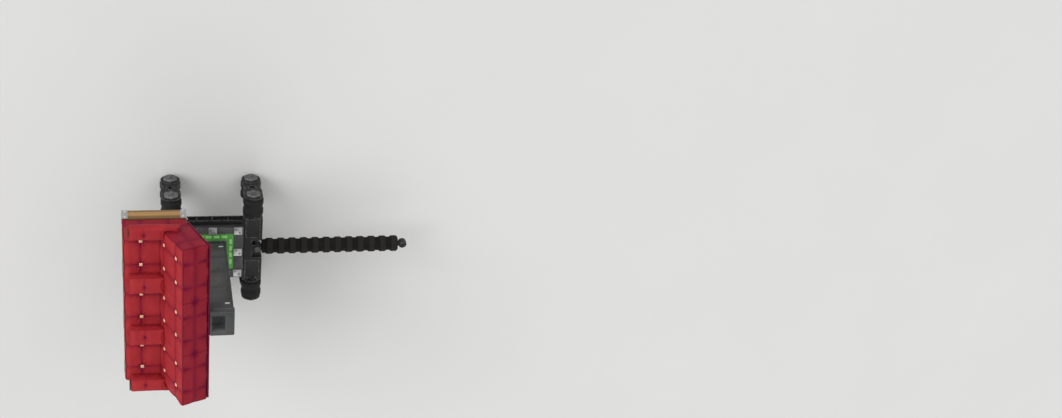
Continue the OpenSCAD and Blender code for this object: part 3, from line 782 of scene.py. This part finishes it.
def tuft_back(piece):
    """Tufts the front, the top and the ends of the row of back covers."""
    points, normals = points_of(piece), normals_of(piece)
    local = points - np.array(FOOT)
    across, along, into = points[:, 0], local @ np.array(UP_BACK), local @ np.array(INTO_BACK)
    front = step_up(-(normals @ np.array(INTO_BACK)), 0.25, 0.8)
    top = step_up(normals @ np.array(UP_BACK), 0.3, 0.85) * (1 - front)
    ends = end_faces(normals)
    tufts = [(c, r, TUFT_DEPTH) for c in COLUMNS for r in BACK_TUFT_ROWS]
    dents = [(x, BACK_MIDDLE, TOP_DENT) for x in SEAT_JOINTS]
    move, painted_shade = tufted(across, along, COLUMN_SEAMS, BACK_ROW_SEAMS, tufts, front)
    over, over_painted_shade = tufted(across, into, COLUMN_SEAMS, BACK_DEPTH_SEAMS, dents, top)
    side, side_painted_shade = tufted(into, along, BACK_DEPTH_SEAMS, BACK_ROW_SEAMS, [], ends, ())
    move_points(piece, points + normals * (move + TOP_TUFTING * over + END_TUFTING * side)[:, None])
    # Painted shade on the top, most near its edges, and on the ends, on top of the painted shade in the seams
    edges = ridge(nearest(into, (0.0, BACK_THICKNESS)), 0.06)
    shade = TOP_SHADE * top + 0.08 * edges * top + END_SHADE * ends
    paint_shade(piece, painted_shade + (0.8 + 0.7 * edges) * over_painted_shade + END_CREASE_SHADE * side_painted_shade + shade)


ARM_TUFT_ROW = BENCH_FRONT + SEAT_TUFT_ROW + 0.03
ARM_WIDTH = 0.06
ARM_MIDDLES = [x + (0.5 - i / 3) * ARM_WIDTH for i, x in enumerate((-ROW_END, *SEAT_JOINTS, ROW_END))]
ARM_REACH = 0.010      # how far an armrest's cover reaches into the backrest


def tuft_arms(piece):
    """Draws the covers out to the wooden fronts and into the backrest, with a seam and a dimple on top."""
    points, normals = points_of(piece), normals_of(piece)
    nose = step_up(-normals[:, 1], 0.5, 0.9)
    points[:, 1] += nose * (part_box("armrests")[0].y + COVER_GAP - points[:, 1])
    rear = step_up(normals @ np.array(INTO_BACK), 0.5, 0.9)
    points += np.outer(rear, np.array(INTO_BACK) * ARM_REACH)
    top = step_up(normals[:, 2], 0.4, 0.85)
    seam = ridge(points[:, 1] - ARM_TUFT_ROW, 0.007) * top
    move = -0.0025 * seam
    # Painted shade along the seam, in the dimples, on the nose and on the ends
    painted_shade = 0.4 * seam + NOSE_SHADE * nose + ARM_END_SHADE * end_faces(normals)
    for x in ARM_MIDDLES:
        radius = np.hypot(points[:, 0] - x, points[:, 1] - ARM_TUFT_ROW)
        move -= 0.007 * ridge(radius, 0.026) * top
        painted_shade += 0.75 * ridge(radius, 0.022) * top
    move_points(piece, points + normals * move[:, None])
    paint_shade(piece, painted_shade)


def subdivide(piece):
    apply_modifier(piece, "SUBSURF", levels=1, render_levels=1)


def row_part(row, index, name):
    """The part of a cover that lies over one seat, cut where it meets its neighbours."""
    piece = copy_of(row, Matrix(), name)
    for side in (-1, 1):
        if 0 <= index + side < len(SEATS):
            edge = SEAT_MIDDLES[index] + side * (SEAT_WIDTH / 2 - COVER_GAP)
            edit_all(piece)
            bpy.ops.mesh.bisect(plane_co=(edge, 0, 0), plane_no=(side, 0, 0), use_fill=True,
                                clear_outer=True)
            bpy.ops.object.mode_set(mode="OBJECT")
    smooth(piece, angle=55)
    dress(piece, RED)
    return piece


ALONG_ROW = (ROW_END - COVER_GAP) / SEAT_HIGH.x
seat_row = filled("seat_row", "middle_seat_cushion", 0.004, ALONG_ROW)
back_row = filled("back_row", "middle_back_cushion", 0.004, ALONG_ROW)
arm_covers = filled("armrest_covers", "armrests", 0.005)
swell([seat_row, back_row], cap=0.022)
swell([arm_covers], cap=0.010, frames=14)
hold_inside(seat_row, "middle_seat_cushion", seat_allowance, ALONG_ROW)
hold_inside(back_row, "middle_back_cushion", back_allowance, ALONG_ROW)
for row, tuft in ((seat_row, tuft_seat), (back_row, tuft_back), (arm_covers, tuft_arms)):
    subdivide(row)
    tuft(row)


# Studs and sewn cords, placed on the whole rows before these are cut into seats

STUD_SUNK = 0.004
CORD_STEP, CORD_LIFT, CORD_RADIUS = 0.012, 0.0008, 0.0046


def stud_place(cover, point, direction):
    """Where a stud sits: on the cover, in its dimple."""
    _, place, _, _ = cover.ray_cast(point - direction * 0.2, direction)
    return place - direction * STUD_SUNK, -direction


def welt(cover, *corners):
    """Sewn cord on a cover, from corner to corner."""
    path = []
    for a, b in zip(corners, corners[1:]):
        path += stepped(a, b, CORD_STEP)[:-1]
    path.append(Vector(corners[-1]))
    drawn = []
    for p in path:
        _, place, normal, _ = cover.closest_point_on_mesh(p)
        drawn.append(place + normal * CORD_LIFT)
    return tube("welt", drawn, CORD_RADIUS)


stud_places = []
for c in COLUMNS:
    stud_places.append(stud_place(seat_row, Vector((c, BENCH_FRONT + SEAT_TUFT_ROW, SEAT_TOP)), DOWN))
    for r in BACK_TUFT_ROWS:
        stud_places.append(stud_place(back_row, on_back(c, r, 0), INTO_BACK))

EDGE, TURN = ROW_END - 0.008, 0.020    # where the cords run, and how far inside a corner they turn
BACK_TOP, BACK_REAR = BACK_LENGTH - TURN, BACK_THICKNESS - TURN
CORD_FOOT = BAND_HIGH.z + 0.02
CORD_START = (0.13, -0.01)             # the front cord starts this far up the backrest, just before it
NOSE = BENCH_FRONT + TURN
welts = [
    welt(back_row, on_back(-EDGE, *CORD_START), on_back(-EDGE, BACK_TOP, TURN),
         on_back(EDGE, BACK_TOP, TURN), on_back(EDGE, *CORD_START)),
    welt(back_row, on_back(-EDGE, BACK_TOP, TURN), on_back(-EDGE, BACK_TOP, BACK_REAR),
         on_back(EDGE, BACK_TOP, BACK_REAR), on_back(EDGE, BACK_TOP, TURN)),
    welt(seat_row, (-EDGE, NOSE, CORD_FOOT), (-EDGE, NOSE, SEAT_TOP - TURN),
         (EDGE, NOSE, SEAT_TOP - TURN), (EDGE, NOSE, CORD_FOOT)),
]
for i, side in enumerate(SEATS):
    for row, part in ((seat_row, "seat"), (back_row, "back")):
        cover = row_part(row, i, f"{side}_{part}_cover")
        seat_on(cover, "car", "upholstery", f"{side}_{part}_cushion")
remove(seat_row)
remove(back_row)

cords = join(welts, "welts")
dress(cords, PIPING)
seat_on(cords, "car", "upholstery")

pick(arm_covers)
bpy.ops.object.shade_smooth()
dress(arm_covers, RED)
seat_on(arm_covers, "car", "upholstery", "armrests")


PETAL_RADIUS, PETAL_REACH, DOME_RADIUS = 0.0104, 0.0108, 0.0078


def stud_model():
    """Four petals round a dome."""
    parts = []
    for k in range(4):
        turn = k * math.pi / 2 + math.pi / 4
        x, y = PETAL_REACH * math.cos(turn), PETAL_REACH * math.sin(turn)
        bpy.ops.object.select_all(action="DESELECT")
        bpy.ops.mesh.primitive_uv_sphere_add(segments=14, ring_count=8, radius=PETAL_RADIUS,
                                             location=(x, y, 0.003))
        petal = bpy.context.object
        petal.scale = (1, 1, 0.5)
        parts.append(done(petal))
    bpy.ops.object.select_all(action="DESELECT")
    bpy.ops.mesh.primitive_uv_sphere_add(segments=16, ring_count=8, radius=DOME_RADIUS,
                                         location=(0, 0, 0.006))
    dome = bpy.context.object
    dome.scale = (1, 1, 0.6)
    parts.append(done(dome))
    model = join(parts, "stud")
    pick(model)
    bpy.ops.object.shade_smooth()
    dress(model, PEACH)
    return model


spread(stud_model(), [facing(point, normal) for point, normal in stud_places], "tuft_studs", "upholstery")


# Wooden band: a routed line above and below a raised field

BAND_RIM, ROUTE_WIDTH, ROUTE_DEPTH = 0.026, 0.003, 0.005


def outside_of_band(c, n):
    at_end = abs(abs(c.x) - BAND_HIGH.x) < 2 * NEAR
    at_front_or_rear = min(abs(c.y - BAND_LOW.y), abs(c.y - BAND_HIGH.y)) < 2 * NEAR
    return abs(n.z) < 0.1 and (at_end or at_front_or_rear)


def routed_band():
    piece = merged_copy("bench_band_finished", "bench_band")
    edit_faces(piece, outside_of_band)
    bpy.ops.mesh.inset(thickness=BAND_RIM, depth=0.0, use_individual=True)
    bpy.ops.mesh.inset(thickness=ROUTE_WIDTH, depth=-ROUTE_DEPTH, use_individual=True)
    bpy.ops.mesh.inset(thickness=ROUTE_WIDTH, depth=ROUTE_DEPTH, use_individual=True)
    bpy.ops.object.mode_set(mode="OBJECT")
    apply_modifier(piece, "BEVEL", width=0.002, segments=2, limit_method="ANGLE",
                   angle_limit=math.radians(30), use_clamp_overlap=False)
    dress(piece, BOARD_ACROSS, BOARD_ALONG)
    for face in piece.data.polygons:
        end = abs(face.center.x) > BAND_HIGH.x - BAND_RIM and abs(face.normal.y) < 0.8
        face.material_index = 1 if end else 0
    smooth(piece, angle=30)
    return seat_on(piece, "car", "wood", "bench_band")


routed_band()


# Bolts: each place is a point and the normal that the bolt stands on

def rimmed(piece, thickness, depth):
    """Puts a raised or sunk field on the top of a disc."""
    edit_faces(piece, lambda c, n: n.z > 0.9)
    bpy.ops.mesh.inset(thickness=thickness, depth=depth)
    bpy.ops.object.mode_set(mode="OBJECT")
    return done(piece)


def bolt_model(size, finish):
    """Hexagon head on a washer, both in shares of the head's radius."""
    bpy.ops.object.select_all(action="DESELECT")
    bpy.ops.mesh.primitive_cylinder_add(vertices=6, radius=size, depth=size * 0.8,
                                        location=(0, 0, size * 0.6))
    head = rimmed(bpy.context.object, size * 0.18, size * 0.14)
    bpy.ops.object.select_all(action="DESELECT")
    bpy.ops.mesh.primitive_cylinder_add(vertices=14, radius=size * 1.45, depth=size * 0.3,
                                        location=(0, 0, size * 0.1))
    washer = rimmed(bpy.context.object, size * 0.08, size * 0.04)
    model = join([washer, head], "bolt")
    smooth(model, angle=30)
    dress(model, finish)
    return model


BOLT_TURN = 0.7   # radians by which each bolt is turned further than the last


def bolts(name, places, size, body="car", slot="light_steel", finish=BOLT_STEEL):
    matrices = [facing(point, normal, i * BOLT_TURN) for i, (point, normal) in enumerate(places)]
    return spread(bolt_model(size, finish), matrices, name, slot, body)


def cap_bolt_places():
    """Two bolts on each outer face of the band's metal caps."""
    places = []
    middle = (BAND_LOW.z + BAND_HIGH.z) / 2
    low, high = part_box("band_caps")
    from_middle, from_corner, from_end = 0.050, 0.030, 0.034
    for z in (middle - from_middle, middle + from_middle):
        for y, out in ((low.y, -1), (high.y, 1)):
            for k in range(4):
                x = (k - 1.5) * SEAT_WIDTH
                if k in (0, 3):
                    x -= math.copysign(from_corner, x)
                places.append((Vector((x, y, z)), Vector((0, out, 0))))
            for x, side in ((low.x, -1), (high.x, 1)):
                places.append((Vector((x, y - out * from_end, z)), Vector((side, 0, 0))))
    return places


def deck_bolt_places():
    """Two bolts, set aslant, on each of the eight brackets round the deck."""
    places = []
    low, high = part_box("deck_brackets")
    middle, reach = (low + high) / 2, (high - low) / 2
    from_rim, aslant = 0.042, 0.020
    for ix in (-1, 0, 1):
        for iy in (-1, 0, 1):
            if ix or iy:
                x = middle.x + ix * (reach.x - from_rim)
                y = middle.y + iy * (reach.y - from_rim)
                for d in (-aslant, aslant):
                    places.append((Vector((x + d, y + d, high.z)), UP))
    return places


def panel_bolt_places():
    """Three rows on the rear of the back panel, left open where the post stands behind it."""
    places = []
    pitch, post_side, panel_thickness = 0.190, 0.165, 0.018
    for along in (0.035, 0.25, 0.470):
        for k in range(10):
            x = (k - 4.5) * pitch
            if abs(x) > post_side:
                places.append((on_back(x, along, BACK_THICKNESS + panel_thickness), INTO_BACK))
    return places


SIXTH = math.pi / 3
HUB_FACE, HUB_RING, CAP_RING = 0.030, 0.052, 0.054   # half width of a hub, and radii of the rings of bolts


def round_axle(middle, radius, side, first, step):
    """Six places in a ring round an axle, facing outwards along it."""
    places = []
    for k in range(6):
        turn = first + k * step
        point = middle + Vector((0, radius * math.cos(turn), radius * math.sin(turn)))
        places.append((point, Vector((side, 0, 0))))
    return places


TAB_SIZE = (0.018, 0.046, 0.005)
TAB_FROM_REAR = 0.058
TAB_HEIGHTS = (DECK_HIGH.z + 0.095, CAP_HIGH.z - 0.165)


def tab_model():
    """Pale plate with round corners and two bolts."""
    bpy.ops.object.select_all(action="DESELECT")
    bpy.ops.mesh.primitive_cube_add(size=1, location=(0, 0, TAB_SIZE[2] / 2), scale=TAB_SIZE)
    plate = done(bpy.context.object)
    apply_modifier(plate, "BEVEL", width=0.003, segments=3, limit_method="ANGLE",
                   angle_limit=math.radians(30))
    head = bolt_model(0.0045, PALE_BOLT)
    heads = [copy_of(head, Matrix.Translation((0, y, TAB_SIZE[2]))) for y in (-0.014, 0.014)]
    remove(head)
    model = join([*heads, plate], "tab")
    smooth(model, angle=30)
    dress(model, PALE_BOLT)
    return model


def on_post_side(side, z):
    """Place of a plate on the outside of the post, from the left or the right."""
    start = Vector((side, POST_HIGH.y - TAB_FROM_REAR, z))
    _, place, _, _ = FINISHED["post"].ray_cast(start, Vector((-side, 0, 0)))
    return place


bolts("band_cap_bolts", cap_bolt_places(), size=0.0075, finish=PALE_BOLT)
bolts("deck_bracket_bolts", deck_bolt_places(), size=0.009)

for wheel in WHEELS:
    hub_places = []
    for side in (-1, 1):
        face = middle_of(wheel + "_hub") + Vector((side * HUB_FACE, 0, 0))
        hub_places += round_axle(face, HUB_RING, side, 0.0, SIXTH)
    bolts(wheel + "_hub_bolts", hub_places, size=0.0062, body=wheel + "_wheel", slot="hub")
bolts("back_panel_bolts", panel_bolt_places(), size=0.008)

axle_low, axle_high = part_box("axle_caps")
cap_rings, cap_middles = [], []
for wheel in WHEELS:
    face = middle_of(wheel + "_hub")
    side = math.copysign(1, face.x)
    face.x = axle_high.x if side > 0 else axle_low.x
    cap_middles.append((face, Vector((side, 0, 0))))
    cap_rings += round_axle(face, CAP_RING, side, SIXTH, -SIXTH)
bolts("axle_nuts", cap_middles, size=0.021, slot="grey_steel", finish=AXLE_CAP)
bolts("axle_cap_bolts", cap_rings, size=0.0058, finish=AXLE_CAP)

tab_places = [turned(on_post_side(side, z), side * math.pi / 2, "Y") for side in (-1, 1) for z in TAB_HEIGHTS]
spread(tab_model(), tab_places, "post_tabs", "light_steel")

bracket_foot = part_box("seat_bracket")[0].z
bracket_places = [(Vector((x, POST_LOW.y - 0.016, bracket_foot + up)), FORWARDS)
                  for x in (-0.060, 0.060) for up in (0.030, 0.095, 0.160)]
bolts("bracket_bolts", bracket_places, size=0.010)

coupler_low, coupler_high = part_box("front_coupler")
coupler_places = [(Vector((x, coupler_high.y - 0.024, (coupler_low.z + coupler_high.z) / 2)), FORWARDS)
                  for x in (-0.028, 0.028)]
bolts("coupler_foot_bolts", coupler_places, size=0.007)


# Light markers on the green panel, in a ring round the post

MARKER_SIZE = (0.058, 0.028, 0.003)
RING_X, RING_Y = 0.180, 0.186


def marker_model():
    bpy.ops.object.select_all(action="DESELECT")
    bpy.ops.mesh.primitive_cube_add(size=1, location=(0, 0, MARKER_SIZE[2] / 2), scale=MARKER_SIZE)
    model = done(bpy.context.object)
    edit_faces(model, lambda c, n: n.z > 0.9)
    bpy.ops.mesh.inset(thickness=0.002, depth=0.0015)
    bpy.ops.mesh.inset(thickness=0.004, depth=0.0)
    bpy.ops.mesh.inset(thickness=0.0015, depth=-0.001)
    bpy.ops.object.mode_set(mode="OBJECT")
    dress(model, MARKER)
    return model


panel = middle_of("deck_panel")
PANEL_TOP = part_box("deck_panel")[1].z
marker_places = []
for side in (-1, 1):
    for d in (-0.120, -0.040, 0.040, 0.120):
        marker_places.append(turned((panel.x + d, panel.y + side * RING_Y, PANEL_TOP), 0, "Z"))
        marker_places.append(turned((panel.x + side * RING_X, panel.y + d, PANEL_TOP), math.pi / 2, "Z"))
spread(marker_model(), marker_places, "panel_markers", "green_paint")


# Weld bead round the foot of the post

BEAD_RADIUS = BEAD_STEP = 0.007
corners = [(POST_LOW.x, POST_LOW.y, PANEL_TOP), (POST_HIGH.x, POST_LOW.y, PANEL_TOP),
           (POST_HIGH.x, POST_HIGH.y, PANEL_TOP), (POST_LOW.x, POST_HIGH.y, PANEL_TOP)]
bead_path = []
for a, b in zip(corners, corners[1:] + corners[:1]):
    bead_path += stepped(a, b, BEAD_STEP)[:-1]
bead = tube("bead", bead_path, BEAD_RADIUS, sides=1, ripple=0.28, closed=True)
bead = join([bead], "post_foot_weld")
dress(bead, GREY_EDGE)
seat_on(bead, "car", "grey_paint")


# Studio: floor, lamps and camera

bpy.ops.object.select_all(action="DESELECT")
bpy.ops.mesh.primitive_plane_add(size=160, location=(0, 0, 0))
floor = bpy.context.object
floor.name = "floor"
dress(floor, FLOOR)

# The world lights the car evenly. The camera and reflections see a pale grey backdrop instead.
WORLD_STRENGTH = 0.50
BACKDROP = (0.86, 0.86, 0.86, 1)
world = bpy.data.worlds.new("studio")
bpy.context.scene.world = world
world.use_nodes = True
tree = world.node_tree
background = tree.nodes["Background"]
background.inputs["Color"].default_value = (1, 1, 1, 1)
background.inputs["Strength"].default_value = WORLD_STRENGTH
backdrop = tree.nodes.new("ShaderNodeBackground")
backdrop.inputs["Color"].default_value = BACKDROP
backdrop.inputs["Strength"].default_value = 1.0
path = tree.nodes.new("ShaderNodeLightPath")
seen = tree.nodes.new("ShaderNodeMath")
seen.operation = "MAXIMUM"
mixer = tree.nodes.new("ShaderNodeMixShader")
for start, end in (
    (path.outputs["Is Camera Ray"], seen.inputs[0]),
    (path.outputs["Is Glossy Ray"], seen.inputs[1]),
    (seen.outputs["Value"], mixer.inputs["Fac"]),
    (background.outputs["Background"], mixer.inputs[1]),
    (backdrop.outputs["Background"], mixer.inputs[2]),
    (mixer.outputs["Shader"], tree.nodes["World Output"].inputs["Surface"]),
):
    tree.links.new(start, end)


def lamp(name, towards, softness, strength):
    """Broad even light from far away, so that the floor is lit evenly."""
    light = bpy.data.lights.new(name, "SUN")
    light.angle, light.energy = math.radians(softness), strength
    lamp_object = bpy.data.objects.new(name, light)
    bpy.context.scene.collection.objects.link(lamp_object)
    lamp_object.rotation_euler = Vector(towards).to_track_quat("-Z", "Y").to_euler()


lamp("key", (0.35, 0.72, -0.62), 40, 1.35)
lamp("fill", (0.75, -0.35, -0.65), 60, 0.50)
lamp("side", (-0.80, 0.15, -0.55), 60, 0.42)

# Camera, as fitted to the photo: its place, its axes, and its focal length in pixels of the image
IMAGE_WIDTH, FOCAL_LENGTH, SENSOR_WIDTH = 1062, 1421.9, 36.0
CAMERA_PLACE = (-7.9725, BENCH_FRONT + 0.1343, 13.5413)
camera_data = bpy.data.cameras.new("camera")
camera_data.sensor_width = SENSOR_WIDTH
camera_data.lens = FOCAL_LENGTH / IMAGE_WIDTH * SENSOR_WIDTH
camera_data.clip_end = 200
camera = bpy.data.objects.new("camera", camera_data)
bpy.context.scene.collection.objects.link(camera)
right = Vector((-0.12007, 0.9634, 0.23968)).normalized()
ahead = right.cross(Vector((0.86746, -0.01559, 0.49726))).normalized()
down = ahead.cross(right).normalized()
axes = Matrix((right, -down, -ahead)).transposed().to_4x4()
camera.matrix_world = Matrix.Translation(CAMERA_PLACE) @ axes
bpy.context.scene.camera = camera

bpy.context.scene.view_settings.view_transform = "Standard"
